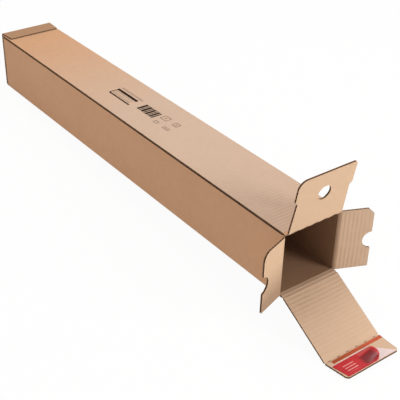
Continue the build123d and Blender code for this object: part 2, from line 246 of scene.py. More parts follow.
class ColourProps(bpy.types.PropertyGroup):
    """Colours of the board, tape, film, glue and floor"""

    outer: tint("Outer facing", "Light tone of the outside", (0.640, 0.370, 0.213))
    outer_dark: tint("Outer facing, dark", "Dark tone of the outside", (0.520, 0.280, 0.150))
    # The top panel's paler, greyer tone is a painted sheen.
    top: tint("Top panel", "Rubbed, paler tone of the top panel", (0.600, 0.430, 0.322))
    inner: tint("Inner facing", "Light tone of the inside", (0.700, 0.495, 0.335))
    inner_dark: tint("Inner facing, dark", "Dark tone of the inside", (0.600, 0.400, 0.255))
    # The ribbed tones are a little darker than the inner facing's: painted shade on the closing flap,
    # the right dust flap and the lip.
    ribbed: tint("Ribbed facing", "Light tone where flutes show inside", (0.650, 0.462, 0.325))
    ribbed_dark: tint("Ribbed facing, dark", "Dark tone where flutes show inside", (0.550, 0.374, 0.250))
    # The darker lower half of the left dust flap is a painted shadow.
    shaded_low_half: tint("Left dust flap, low", "Tone of its lower half", (0.430, 0.280, 0.180))
    # The walls' inner faces are painted darker than the inner facing: painted shade inside the tube.
    deep: tint("Inside the tube", "Light tone of the walls' inner faces", (0.330, 0.190, 0.110))
    deep_shade_dark: tint("Inside the tube, dark", "Dark tone of the inner faces", (0.260, 0.145, 0.080))
    # The darker lip at the shut end is painted shade.
    shut_lip_shade: tint("Shut lip", "Tone of the lip glued on at the shut end", (0.420, 0.235, 0.130))
    rib: tint("Rib shade", "Hollows between the flutes", (0.400, 0.215, 0.115))
    edge: tint("Cut edge", "Raw edges of the facings", (0.420, 0.260, 0.160))
    # Near black: the medium's colour paints the shade inside the flutes' cavities.
    medium: tint("Medium", "Fluted sheet", (0.050, 0.017, 0.005))
    ink: tint("Ink", "Printed bars", (0.022, 0.012, 0.008))
    tape: tint("Tape", "Right end of the tear strip", (0.510, 0.086, 0.030))
    tape_left: tint("Tape, left", "Left end of the tear strip", (0.330, 0.056, 0.014))
    liner: tint("Liner", "Release film", (0.570, 0.026, 0.032))
    liner_dark: tint("Liner, dark", "Shaded film", (0.280, 0.012, 0.022))
    # The film's pale rim and pale lines in this colour are painted highlights; the bars are print.
    liner_mark: tint("Liner mark", "Pale bars and the film's rim", (0.820, 0.360, 0.340))
    glue: tint("Glue", "Pressure-sensitive glue", (0.800, 0.655, 0.640))
    floor: tint("Floor", "Pale floor", (0.80, 0.80, 0.80))


class StageProps(bpy.types.PropertyGroup):
    """Camera, lamps and floor"""

    camera_at: vector("Camera", "Place of the camera", (-0.7793, -1.1795, 0.8214), "TRANSLATION")
    camera_right: vector("Camera right", "Picture's right", (0.80078, -0.59858, 0.02115), "DIRECTION")
    camera_down: vector("Camera down", "Picture's down", (-0.30727, -0.44084, -0.84335), "DIRECTION")
    lens: level("Lens", "Focal length in millimetres for a 36 mm sensor", 81.277)
    floor_near: vector("Floor, near", "Below the lip's fold", (0.0, -0.5340, -0.0567), "TRANSLATION")
    floor_far: vector("Floor, far", "Below the shut end", (0.0, 0.439, -0.0001), "TRANSLATION")
    floor_size: length("Floor size", "Half side of the floor", 12000.0)
    world_level: level("World", "Strength of the soft light all round", 0.34)
    key_power: level("Key lamp", "Watts, high above the tube", 30.0)
    front_power: level("Front lamp", "Watts, in front on the right", 35.0)
    left_power: level("Left lamp", "Watts, on the left", 10.0)


PROP_GROUPS = {
    "tube_board": BoardProps,
    "tube_walls": WallProps,
    "tube_flaps": FlapProps,
    "tube_lip": LipProps,
    "tube_colours": ColourProps,
    "tube_stage": StageProps,
}


def sizes_of(name):
    """Values of one property group, with its lengths in millimetres."""
    group = getattr(bpy.context.scene, name)
    values = {}
    for key, prop in group.bl_rna.properties.items():
        if key not in ("name", "rna_type"):
            value = getattr(group, key)
            values[key] = value / MM if prop.unit == "LENGTH" else value
    return SimpleNamespace(**values)


# Shader helpers

def add_node(tree, kind, inputs=None, **settings):
    """A shader node with its settings and its inputs, which are values or sockets."""
    made = tree.nodes.new(kind)
    for name, value in settings.items():
        setattr(made, name, value)
    for key, value in (inputs or {}).items():
        socket = made.inputs[key]
        if isinstance(value, bpy.types.NodeSocket):
            tree.links.new(value, socket)
        else:
            socket.default_value = value
    return made


def add_math(tree, operation, first, second=0.0, third=0.0, clamp=False):
    """Result of a maths node."""
    inputs = {0: first, 1: second, 2: third}
    return add_node(tree, "ShaderNodeMath", inputs, operation=operation, use_clamp=clamp).outputs[0]


def add_noise(tree, vector, scale, detail=3.0, roughness=0.55):
    """Noise between 0 and 1 on a vector."""
    inputs = {"Vector": vector, "Scale": scale, "Detail": detail, "Roughness": roughness}
    return add_node(tree, "ShaderNodeTexNoise", inputs).outputs["Fac"]


def add_ramp(tree, value, low, high, top=1.0):
    """Value that rises from 0 at low to top at high."""
    inputs = {"Value": value, "From Min": low, "From Max": high, "To Max": top}
    return add_node(tree, "ShaderNodeMapRange", inputs).outputs[0]


def add_mix(tree, share, first, second):
    """Colour between two colours."""
    inputs = {"Factor": share, 6: first, 7: second}
    return add_node(tree, "ShaderNodeMix", inputs, data_type="RGBA").outputs[2]


def multiply(tree, first, *others):
    """Product of several values, from the first to the last."""
    for other in others:
        first = add_math(tree, "MULTIPLY", first, other)
    return first


def add_vector(tree, operation, *vectors, output=0):
    """Result of a vector maths node."""
    inputs = dict(enumerate(vectors))
    return add_node(tree, "ShaderNodeVectorMath", inputs, operation=operation).outputs[output]


def add_mapping(tree, vector, **inputs):
    """Vector after a scale or a rotation."""
    return add_node(tree, "ShaderNodeMapping", {"Vector": vector, **inputs}).outputs[0]


def add_band(tree, value, low, high, soft):
    """1 where a value lies between low and high, with soft ends."""
    rise = add_ramp(tree, value, low - soft, low + soft)
    fall = add_ramp(tree, value, high + soft, high - soft)
    return multiply(tree, rise, fall)


def add_waves(tree, value, pitch, warp=0.0):
    """Sine stripes between 0 and 1, one every pitch."""
    phase = add_math(tree, "MULTIPLY_ADD", value, 2 * math.pi / pitch, warp)
    return add_math(tree, "MULTIPLY_ADD", add_math(tree, "SINE", phase), 0.5, 0.5)


def add_uv(tree):
    """The board's own map and its two parts: across and along, in metres."""
    place = add_node(tree, "ShaderNodeUVMap", uv_map=UV_NAME).outputs[0]
    parts = add_node(tree, "ShaderNodeSeparateXYZ", {"Vector": place})
    return place, parts.outputs[0], parts.outputs[1]


def add_grain(tree, *noise):
    """Noise in the object's own space."""
    return add_noise(tree, add_node(tree, "ShaderNodeTexCoord").outputs["Object"], *noise)


def rgba(colour, share=1.0):
    """Colour with full alpha, darkened to a share."""
    return (*[share * value for value in colour], 1.0)


def new_material(name, roughness, sheen=0.5):
    """Material with a principled shader, as (material, tree, shader)."""
    material = bpy.data.materials.new(name)
    material.use_nodes = True
    shader = material.node_tree.nodes["Principled BSDF"]
    shader.inputs["Roughness"].default_value = roughness
    shader.inputs["Specular IOR Level"].default_value = sheen
    return material, material.node_tree, shader


def paint(tree, shader, share, first, second):
    """Base colour between two colours."""
    tree.links.new(add_mix(tree, share, first, second), shader.inputs["Base Color"])


def add_bump(tree, shader, height, distance, strength):
    """Bump from a height."""
    inputs = {"Height": height, "Distance": distance, "Strength": strength}
    tree.links.new(add_node(tree, "ShaderNodeBump", inputs).outputs[0], shader.inputs["Normal"])


def kraft_material(name, light, dark, rib_mask=None, rib_share=0.0, painted_light_mask=None, tone=None):
    """Kraft facing: fibres, mottling, specks, a second tone for painted light, and the ribs of the
    flutes below with painted shade in their hollows.
    """
    material, tree, shader = new_material(name, 0.85, 0.35)
    place, across, along = add_uv(tree)
    stretched = add_mapping(tree, place, Scale=(1.0, 0.30, 1.0))
    fibre, streak = add_noise(tree, stretched, *FIBRE), add_noise(tree, stretched, *STREAK)
    mottle, cloud = add_noise(tree, place, *MOTTLE), add_noise(tree, place, *CLOUD)
    share = add_math(tree, "MULTIPLY_ADD", fibre, 0.42, -0.19)
    for noise, weight in ((streak, 0.30), (mottle, 0.34), (cloud, 0.42)):
        share = add_math(tree, "MULTIPLY_ADD", noise, weight, share)
    share = add_math(tree, "MAXIMUM", share, 0.0)
    colour = add_mix(tree, add_math(tree, "MINIMUM", share, 1.0), rgba(light), rgba(dark))
    speck = add_ramp(tree, fibre, 0.68, 0.80, 0.30)
    colour = add_mix(tree, speck, colour, rgba(dark, 0.55))
    height = add_math(tree, "MULTIPLY_ADD", fibre, 0.12, multiply(tree, mottle, 0.12))
    if painted_light_mask:
        toned = add_mix(tree, share, rgba(tone), rgba(tone, 0.84))
        colour = add_mix(tree, painted_light_mask(tree, across, along), colour, toned)
    # Ribs: the rib colour paints shade in the hollows between the flutes.
    if rib_mask:
        warp = multiply(tree, add_noise(tree, place, *RIB_WARP), 2.2)
        waves = add_waves(tree, along, bpy.context.scene.tube_board.pitch, warp)
        uneven = add_ramp(tree, add_noise(tree, place, *RIB_WEAR), 0.30, 0.62)
        wear = add_math(tree, "MULTIPLY_ADD", uneven, 0.65, 0.35)
        hollow = add_math(tree, "POWER", waves, 1.6)
        hollow = multiply(tree, hollow, rib_mask(tree, across, along), wear)
        rib = rgba(bpy.context.scene.tube_colours.rib)
        colour = add_mix(tree, multiply(tree, hollow, rib_share), colour, rib)
        height = add_math(tree, "MULTIPLY_ADD", hollow, -0.9, height)
    tree.links.new(colour, shader.inputs["Base Color"])
    tree.links.new(add_math(tree, "MULTIPLY_ADD", mottle, 0.16, 0.74), shader.inputs["Roughness"])
    add_bump(tree, shader, height, 0.0004, 0.7)
    return material


def on_top(tree, across):
    """1 on the top panel."""
    return add_band(tree, across, low=-0.056, high=0.056, soft=0.002)


def top_panel_sheen(tree, across, along):
    """The top panel is paler, most from its middle to the open end: painted sheen."""
    return multiply(tree, add_ramp(tree, along, low=0.36, high=0.00, top=0.95), on_top(tree, across))


def shut_lip_shade(tree, across, along):
    """The glued lip of the shut end is darker: painted shade."""
    return add_ramp(tree, along, low=0.119, high=0.123)


def shaded_low_half(tree, across, along):
    """The lower half of a dust flap is darker: painted shadow."""
    return add_ramp(tree, across, low=0.016, high=-0.035)


def outer_ribs(tree, across, along):
    """Ribs show on the top panel, and fade away from the open end."""
    return multiply(tree, add_ramp(tree, along, low=-0.12, high=-0.40), on_top(tree, across))


def ribs_and_crease_shade(tree, across, along):
    """Ribs show most near the crease, where their extra darkness is painted shade, and fade towards the
    free edge.
    """
    return add_math(tree, "MAXIMUM", add_ramp(tree, along, low=0.090, high=0.010), 0.35)


def plain_material(name, colour, share):
    """Raw paper: brown, rough and uneven."""
    material, tree, shader = new_material(name, 0.95, 0.05)
    grain = add_grain(tree, 900.0, 4.0, 0.6)
    paint(tree, shader, grain, rgba(colour), rgba(colour, share))
    add_bump(tree, shader, grain, 0.0002, 0.5)
    return material


def ink_material(name, ink, kraft):
    """Print that lets the board's grain through where it is thin."""
    material, tree, shader = new_material(name, 0.8, 0.05)
    thin = add_ramp(tree, add_grain(tree, 2600.0, 4.0, 0.6), 0.60, 0.80, 0.20)
    paint(tree, shader, thin, rgba(ink), rgba(kraft))
    return material


def tape_material(name, colour, left_colour):
    """Tear strip: satin woven tape, browner at its left end."""
    material, tree, shader = new_material(name, 0.5, 0.25)
    place, across, _ = add_uv(tree)
    smudge = add_noise(tree, place, 240.0, 3.0, 0.6)
    leftward = add_ramp(tree, across, low=0.030, high=-0.045)
    share = add_math(tree, "MULTIPLY_ADD", smudge, 0.5, leftward, clamp=True)
    share = add_math(tree, "SUBTRACT", share, 0.12, clamp=True)
    paint(tree, shader, share, rgba(colour), rgba(left_colour))
    turned = add_mapping(tree, place, Rotation=(0.0, 0.0, 0.9))
    weave = add_node(tree, "ShaderNodeTexWave", {"Vector": turned, "Scale": 260.0, "Distortion": 0.6})
    add_bump(tree, shader, weave.outputs["Fac"], 0.0001, 0.5)
    return material


def liner_material(name, colours):
    """Release liner: glossy red film with plain pale bars, a dark patch of fine lines that is print with
    painted shade, and pale lines and a pale rim that are painted highlights.
    """
    material, tree, shader = new_material(name, 0.34, 0.25)
    place, across, along = add_uv(tree)
    dark, mark = rgba(colours.liner_dark), rgba(colours.liner_mark)
    cloud = multiply(tree, add_noise(tree, place, 60.0, 3.0, 0.5), 0.6)
    base = add_mix(tree, cloud, rgba(colours.liner), dark)

    # Dark patch of fine lines: print, with painted shade on the arch
    lines = add_math(tree, "MULTIPLY_ADD", add_waves(tree, along, 0.0021), 0.40, 0.55)
    wide = add_band(tree, across, -0.009, 0.015, 0.003)
    deep = add_band(tree, along, 0.022, 0.040, 0.0025)
    base = add_mix(tree, multiply(tree, wide, deep, lines), base, rgba(colours.liner_dark, 0.28))

    # Pale lines between the patch and the crease: painted highlights along the arch
    lines = add_math(tree, "POWER", add_waves(tree, along, 0.0026), 3.0)
    wide = add_band(tree, across, -0.006, 0.018, 0.002)
    deep = add_band(tree, along, 0.013, 0.020, 0.001)
    base = add_mix(tree, multiply(tree, lines, multiply(tree, wide, deep), 0.45), base, mark)

    # Pale bars on the left
    bars = add_ramp(tree, add_waves(tree, along, 0.0052), 0.70, 0.80)
    wide = add_band(tree, across, -0.040, -0.020, 0.0004)
    deep = add_band(tree, along, 0.019, 0.037, 0.0004)
    base = add_mix(tree, multiply(tree, bars, wide, deep, 0.75), base, mark)

    # Pale rim round the free corner: a painted highlight along the lifted edge
    lip = sizes_of("tube_lip")
    radius = round_of_liner(lip)
    centre = (-(lip.liner_end - radius) * MM, -(lip.glue_end - lip.liner_round) * MM, 0.0)
    corner = add_vector(tree, "MAXIMUM", add_vector(tree, "ADD", place, centre), (-1.0, 0.0, 0.0))
    reach = add_vector(tree, "LENGTH", corner, output="Value")
    rim = add_ramp(tree, reach, (radius - RIM_START) * MM, (radius - RIM_END) * MM, 0.7)
    rim = multiply(tree, rim, add_ramp(tree, across, 0.0, 0.004))
    paint(tree, shader, rim, base, mark)
    add_bump(tree, shader, add_noise(tree, place, 140.0, 2.0, 0.5), 0.0006, 0.35)
    return material


def glue_material(name, colour):
    """Pressure-sensitive glue: pale, wet-looking and a little streaky."""
    material, tree, shader = new_material(name, 0.2)
    place = add_uv(tree)[0]
    share = add_noise(tree, add_mapping(tree, place, Scale=(0.3, 1.0, 1.0)), 300.0, 4.0, 0.6)
    paint(tree, shader, share, rgba(colour), rgba(colour, 0.85))
    add_bump(tree, shader, share, 0.0004, 0.4)
    return material


def material_for(name):
    """Material by name, made once."""
    c = bpy.context.scene.tube_colours
    # Second tones paint light: sheen on the top panel, shade on the shut lip and the left dust flap's
    # lower half. The deep and ribbed tones paint shade too.
    makers = {
        "wall_kraft": (kraft_material, c.outer, c.outer_dark, outer_ribs, 0.30, top_panel_sheen, c.top),
        "shut_kraft": (kraft_material, c.outer, c.outer_dark, None, 0.0, shut_lip_shade, c.shut_lip_shade),
        "outer_kraft": (kraft_material, c.outer, c.outer_dark),
        "inner_kraft": (kraft_material, c.inner, c.inner_dark),
        "left_dust_kraft": (kraft_material, c.inner, c.inner_dark, None, 0.0, shaded_low_half, c.shaded_low_half),
        "deep_kraft": (kraft_material, c.deep, c.deep_shade_dark),
        "lip_kraft": (kraft_material, c.ribbed, c.ribbed_dark),
        "ribbed_kraft": (kraft_material, c.ribbed, c.ribbed_dark, ribs_and_crease_shade, 0.36),
        "cut_edge": (plain_material, c.edge, 0.6),
        "board_medium": (plain_material, c.medium, 0.5),
        "print_ink": (ink_material, c.ink, c.outer),
        "tape_weave": (tape_material, c.tape, c.tape_left),
        "liner_sheet": (liner_material, c),
        "glue": (glue_material, c.glue),
    }
    maker, *values = makers[name]
    return bpy.data.materials.get(name) or maker(name, *values)


# Geometry helpers, in millimetres

def board_looks(outside="outer_kraft", inside="inner_kraft"):
    """Materials of a board piece, in the order OUTSIDE, INSIDE, EDGE, MEDIUM_SHADE."""
    return [outside, inside, "cut_edge", "board_medium"]


def steps(start, stop, step):
    """Even places between start and stop, at most step apart, without the ends."""
    count = max(1, math.ceil((stop - start) / step))
    return [start + (stop - start) * i / count for i in range(1, count)]


def draw_loop(bm, outline):
    """Closed wire loop through points and turns."""
    first = last = None
    for item in outline:
        if isinstance(item, Turn):
            swing = math.radians(item.degrees)
            made = bmesh.ops.spin(
                bm, geom=[last], cent=(*item.centre, 0), axis=(0, 0, 1), angle=swing, steps=item.count
            )
            last = made["geom_last"][0]
        else:
            vert = bm.verts.new((*item, 0))
            if last:
                bm.edges.new((last, vert))
            first, last = first or vert, vert
    bm.edges.new((last, first))


def fill_outline(bm, outline, holes=()):
    """Flat face with holes, at height 0."""
    for loop in (outline, *holes):
        draw_loop(bm, loop)
    bmesh.ops.remove_doubles(bm, verts=bm.verts[:], dist=1e-3)
    bmesh.ops.triangle_fill(bm, use_beauty=True, use_dissolve=False, edges=bm.edges[:], normal=(0, 0, 1))


def cut_at(bm, axis, places):
    """Cuts everything across an axis at each place."""
    direction = Vector([float(i == axis) for i in range(3)])
    for place in places:
        geom = bm.verts[:] + bm.edges[:] + bm.faces[:]
        bmesh.ops.bisect_plane(bm, geom=geom, dist=1e-5, plane_co=direction * place, plane_no=direction)


def thicken(bm, amount):
    """Turns flat faces into a slab that reaches up by an amount."""
    made = bmesh.ops.extrude_face_region(bm, geom=bm.faces[:])
    verts = [item for item in made["geom"] if isinstance(item, bmesh.types.BMVert)]
    bmesh.ops.translate(bm, vec=(0, 0, amount), verts=verts)


def write_uv(bm):
    """Keeps each point's flat place, in metres, as the board's own map."""
    layer = bm.loops.layers.uv.get(UV_NAME) or bm.loops.layers.uv.new(UV_NAME)
    for face in bm.faces:
        for loop in face.loops:
            loop[layer].uv = (loop.vert.co.x * MM, loop.vert.co.y * MM)


def mesh_from(bm, name):
    """Mesh with all that a bmesh holds, which is freed."""
    mesh = bpy.data.meshes.new(name)
    bm.to_mesh(mesh)
    bm.free()
    return mesh


def add_object(name, data):
    """Object in the scene."""
    made = bpy.data.objects.new(name, data)
    bpy.context.scene.collection.objects.link(made)
    return made


def add_layer(target, bm):
    """Moves a bmesh into the target bmesh."""
    mesh = mesh_from(bm, "layer")
    target.from_mesh(mesh)
    bpy.data.meshes.remove(mesh)


def finish_piece(bm, name, material_names, smooth_angle=None):
    """Object at the origin from a bmesh in millimetres."""
    bmesh.ops.recalc_face_normals(bm, faces=bm.faces[:])
    bmesh.ops.scale(bm, vec=(MM, MM, MM), verts=bm.verts[:])
    mesh = mesh_from(bm, name)
    for material_name in material_names:
        mesh.materials.append(material_for(material_name))
    if smooth_angle is not None:
        mesh.shade_smooth()
        mesh.set_sharp_from_angle(angle=math.radians(smooth_angle))
    return add_object(name, mesh)


def mirrored(left):
    """Closed outline from its left half, listed from one end to the other."""
    return [*left, *((-across, along) for across, along in reversed(left))]


def notched_crease(half, at=0.0):
    """Left end of a crease, with its notch."""
    return [(-half, at - CREASE_NOTCH), (-half + CREASE_NOTCH, at), (-half, at + CREASE_NOTCH)]


def round_corners(half, bottom, right_top, left_top, radius, count):
    """Rounded corners of a section, clockwise from the upper right to the upper left one."""
    x, low = half - radius, bottom + radius
    return [
        (x, right_top),
        Turn((x, right_top - radius), -90, count),
        (half, low),
        Turn((x, low), -90, count),
        (-x, bottom),
        Turn((-x, low), -90, count),
        (-half, left_top - radius),
        Turn((-x, left_top - radius), -90, count),
    ]


def flute(board, swing, along):
    """Height of the medium in its wave."""
    return swing * math.sin(2 * math.pi * along / board.pitch)


def board_height(board, distance):
    """Board thickness at a distance from the nearest crease."""
    if abs(distance) >= board.crush_reach:
        return board.thickness
    share = math.cos(0.5 * math.pi * distance / board.crush_reach) ** 2
    return board.thickness + (board.crushed - board.thickness) * share


def corrugated(outline, creases, place, holes=(), slits=()):
    """Corrugated board as a bmesh: two facings and a fluted medium, cut to a flat outline.

    The outline lies in (across, along), creases are places along, and place maps
    (across, along, depth) to a point, where positive depth is the inside of the sheet.
    Holes go through the board, and slits only through the inner facing.
    """
    board = sizes_of("tube_board")
    points = [item for item in outline if not isinstance(item, Turn)]
    low = min(point[1] for point in points)
    high = max(point[1] for point in points)
    reach = board.crush_reach
    cuts = steps(low, high, 2 * board.pitch)
    for crease in creases:
        cuts += [crease - reach, *steps(crease - reach, crease + reach, reach / 5), crease + reach]

    def height(along):
        distances = [along - crease for crease in creases] or [2 * reach]
        return board_height(board, min(distances, key=abs))

    target = bmesh.new()
    target.loops.layers.uv.new(UV_NAME)
    for side, skin, loops in ((-1, OUTSIDE, holes), (1, INSIDE, (*holes, *slits))):
        bm = bmesh.new()
        fill_outline(bm, outline, loops)
        cut_at(bm, 1, [cut for cut in cuts if low < cut < high])
        thicken(bm, 1.0)
        write_uv(bm)
        bm.normal_update()
        for face in bm.faces:
            face.material_index = skin if abs(face.normal.z) > 0.5 else EDGE
        for vert in bm.verts:
            vert.co.z = side * (0.5 * height(vert.co.y) - board.facing * vert.co.z)
        add_layer(target, bm)
    bm = bmesh.new()
    fill_outline(bm, outline, holes)
    wave_step = board.pitch / FLUTE_CUTS
    first, last = math.floor(low / wave_step) + 1, math.ceil(high / wave_step)
    cut_at(bm, 1, [i * wave_step for i in range(first, last)])
    thicken(bm, 1.0)
    write_uv(bm)
    for face in bm.faces:
        face.material_index = MEDIUM_SHADE
    for vert in bm.verts:
        swing = 0.5 * (height(vert.co.y) - board.medium) - board.facing
        vert.co.z = flute(board, swing, vert.co.y) + board.medium * (vert.co.z - 0.5)
    add_layer(target, bm)
    for vert in target.verts:
        vert.co = place(*vert.co)
    return target


class Fold:
    """A crease with its rest bend: maps flat board to folded board."""

    def __init__(self, origin, across, along, inside, bend, reach):
        self.origin, self.across = Vector(origin), Vector(across)
        self.along, self.inside = Vector(along), Vector(inside)
        self.bend, self.reach = bend, reach
        self.start = Vector((-reach, 0.0))
        self.end = Vector((reach * math.cos(bend), reach * math.sin(bend)))

    def turned(self, distance, depth, share):
        """Place in the plane square to the crease after a share of the bend."""
        c, s = math.cos(share * self.bend), math.sin(share * self.bend)
        return Vector((distance * c - depth * s, distance * s + depth * c))

    def share(self, distance, depth):
        if abs(distance) > 3 * self.reach:
            return float(distance > 0)
        line = self.end - self.start
        share = 0.5
        for _ in range(40):
            flat = self.turned(distance, depth, share) - self.start
            t = min(1.0, max(0.0, flat.dot(line) / line.length_squared))
            share = 0.5 * (share + t * t * (3 - 2 * t))
        return share

    def place(self, across, distance, depth):
        """Point on the folded board."""
        flat = self.turned(distance, depth, self.share(distance, depth))
        return self.origin + across * self.across + flat.x * self.along + flat.y * self.inside

    def tangent(self):
        """Outward direction and inside direction beyond the crease."""
        c, s = math.cos(self.bend), math.sin(self.bend)
        return c * self.along + s * self.inside, c * self.inside - s * self.along

    def blend_points(self):
        """Start and end of the bend, in metres."""
        outward = self.tangent()[0]
        return (self.origin - self.reach * self.along) * MM, (self.origin + self.reach * outward) * MM


def flap_folds():
    """Folds of all flaps at rest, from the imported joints."""
    flaps = sizes_of("tube_flaps")
    at = {name: [value / MM for value in joint["pos_m"]] for name, joint in JOINTS.items()}
    across, out, up = (1, 0, 0), (0, -1, 0), (0, 0, 1)
    left_at = (*at["left_dust_fold"][:2], flaps.hole_height)
    right_at = (*at["right_dust_fold"][:2], flaps.hole_height)
    folds = {
        "top": Fold(at["top_fold"], across, out, (0, 0, -1), -flaps.top_bend, flaps.bend_reach),
        "left": Fold(left_at, up, out, (1, 0, 0), -flaps.left_bend, flaps.side_bend_reach),
        "right": Fold(right_at, up, out, (-1, 0, 0), -flaps.right_bend, flaps.side_bend_reach),
        "closing": Fold(at["closing_fold"], across, out, up, -flaps.closing_bend, flaps.bend_reach),
    }
    outward, inside = folds["closing"].tangent()
    folds["lip"] = Fold(at["lip_fold"], across, outward, inside, flaps.lip_bend, flaps.bend_reach)
    return folds


def nicks(half_length, pitch, size, half_depth, shift=0.0):
    """Slits along a crease, as small rounded holes, shifted towards the flap."""
    count = int(2 * half_length // pitch)
    loops = []
    for i in range(count):
        at = (i - (count - 1) / 2) * pitch
        end = size / 2 - half_depth
        loops.append([
            (at + end, shift - half_depth),
            Turn((at + end, shift), 180, 6),
            (at - end, shift + half_depth),
            Turn((at - end, shift), 180, 6),
        ])
    return loops


class TUBE_OT_walls(bpy.types.Operator):
    """Builds the four walls with the raw seam edge and the glue tab"""

    bl_idname = "tube.walls"
    bl_label = "Walls"

    def execute(self, context):
        tube, board = sizes_of("tube_walls"), sizes_of("tube_board")
        half, top, radius = tube.half_width, tube.height, tube.fold_radius
        facing, depth = board.facing, tube.seam_depth
        below = top - board.thickness
        outline = [
            (-half, top),
            *round_corners(half, 0, top, below, radius, 8),
            (-half, below + SEAM_GAP),
            (-half, below + facing),
            (-half + depth, below + facing),
            (-half + depth, top - facing),
            (-half, top - facing),
        ]
        inner_half, small, bottom = half - board.thickness, tube.inner_radius, board.thickness
        hollow = [
            (-inner_half + small, below),
            *round_corners(inner_half, bottom, below, below, small, 4),
        ]
        bm = bmesh.new()
        fill_outline(bm, outline, [hollow])
        thicken(bm, 2 * tube.wall_end)
        cut_at(bm, 2, steps(0, 2 * tube.wall_end, WALL_STEP))
        for vert in bm.verts:
            vert.co = Vector((vert.co.x, vert.co.z - tube.wall_end, vert.co.y))
        layer = bm.loops.layers.uv.new(UV_NAME)
        bmesh.ops.recalc_face_normals(bm, faces=bm.faces[:])
        bm.normal_update()
        slack = 0.1
        for face in bm.faces:
            middle = face.calc_center_median()
            inside = abs(middle.x) < inner_half + slack and bottom - slack < middle.z < below + slack
            # The raw seam edge and the fold's upper part next to it take the near-black medium: painted
            # shade in the seam.
            raw = middle.z > below - 0.6 * radius and middle.x < -half + depth and face.normal.z < 0.9
            cut = EDGE if abs(face.normal.y) > 0.5 else OUTSIDE
            face.material_index = INSIDE if inside else MEDIUM_SHADE if raw else cut
            side = abs(face.normal.x) > abs(face.normal.z)
            for loop in face.loops:
                co = loop.vert.co
                loop[layer].uv = ((co.z + 2 * half if side else co.x) * MM, co.y * MM)
        # The walls' inner faces take deep kraft, which paints the shade inside the tube.
        walls = finish_piece(bm, "walls", board_looks("wall_kraft", "deep_kraft"), smooth_angle=35)
        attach(walls, "tube")
        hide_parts("tube_body")

        # Flutes in the raw seam edge, in the near-black medium that paints their shade
        bm = bmesh.new()
        mouth = 1.8
        fill_outline(bm, [
            (-half + mouth, -tube.wall_end),
            (-half + depth, -tube.wall_end),
            (-half + depth, tube.wall_end),
            (-half + mouth, tube.wall_end),
        ])
        cut_at(bm, 1, steps(-tube.wall_end, tube.wall_end, board.pitch / FLUTE_CUTS))
        thicken(bm, board.medium)
        write_uv(bm)
        swing = 0.5 * (board.thickness - board.medium) - facing
        for vert in bm.verts:
            vert.co.z += top - 0.5 * (board.thickness + board.medium) + flute(board, swing, vert.co.y)
        seam = finish_piece(bm, "seam_flutes", ["board_medium"], smooth_angle=40)
        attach(seam, "tube")

        # Glue tab under the top panel
        start, end, cut = -inner_half, tube.tab_end, tube.tab_corner
        edge = start + tube.tab_width
        outline = [(start, -end), (edge, cut - end), (edge, end - cut), (start, end)]
        level_below = below - board.thickness / 2 - SEAM_GAP

        def under_top(across, along, depth):
            return Vector((across, along, level_below - depth))

        bm = corrugated(outline, [], under_top)
        tab = finish_piece(bm, "glue_tab", board_looks("deep_kraft"), smooth_angle=40)
        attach(tab, "tube")
        return {"FINISHED"}


def flap_piece(name, outline, fold, inside, holes=(), slits=()):
    """One flap with its part of the parent panel, bent at its crease."""
    bm = corrugated(outline, [0.0], fold.place, holes, slits)
    made = finish_piece(bm, name, board_looks(inside=inside), smooth_angle=40)
    start, end = fold.blend_points()
    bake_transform(made)
    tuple(start)
    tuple(end)
    return made


def finger_hole(flaps, crease=0.0):
    """Finger hole of the top flap, drawn from its crease."""
    at = (0, crease + flaps.hole_reach)
    return [(flaps.hole_radius, at[1]), Turn(at, 360, 48)]


def top_outline(flaps, tube, start, crease=0.0):
    """Top flap and its strip of the top panel, flat."""
    left, right, ear = flaps.left_ear_radius, flaps.right_ear_radius, flaps.ear_half
    end, shoulder = flaps.top_length + crease, crease - TOP_SHOULDER
    right_side = tube.half_width - TOP_RELIEF
    return [
        (-tube.half_width, start),
        (-tube.half_width, shoulder),
        (-flaps.top_root, crease),
        (-flaps.top_waist, crease + flaps.top_waist_end),
        (-ear, crease + flaps.ear_start),
        (-ear, end - left),
        Turn((-ear + left, end - left), -90, 10),
        (ear - right, end),
        Turn((ear - right, end - right), -90, 6),
        (ear, crease + flaps.ear_start),
        (flaps.top_waist, crease + flaps.top_waist_end),
        (flaps.top_root, crease),
        (right_side, shoulder),
        (right_side, start),
    ]


def notched_edge(flaps, middle, end, notch_at):
    """Free edge of a dust flap from its upper to its lower part, with the half-round notch."""
    beyond = notch_at - end
    half = math.sqrt(flaps.notch_radius ** 2 - beyond ** 2)
    lean = math.degrees(math.asin(beyond / flaps.notch_radius))
    return [(middle + half, end), Turn((middle, notch_at), 2 * lean - 180, 20), (middle - half, end)]


def dust_outline(flaps, start, top, rounded):
    """Dust flap and its strip of the wall, flat, measured from the notch's middle."""
    bottom, high = flaps.dust_bottom - flaps.hole_height, top - flaps.hole_height
    end, shoulder = flaps.dust_length, -DUST_SHOULDER
    corner = flaps.left_dust_corner if rounded else flaps.right_dust_corner
    tip = Turn((high - corner, end - corner), 90, 8) if rounded else (high - corner, end)
    wall_top = flaps.right_dust_top + DUST_RELIEF - flaps.hole_height
    return [
        (bottom - DUST_RELIEF, start),
        (wall_top, start),
        (wall_top, shoulder),
        (high, 0.0),
        (high, end - corner),
        tip,
        *notched_edge(flaps, 0.0, end, flaps.notch_reach),
        (bottom, end),
        (bottom, 0.0),
        (bottom - DUST_RELIEF, shoulder),
    ]


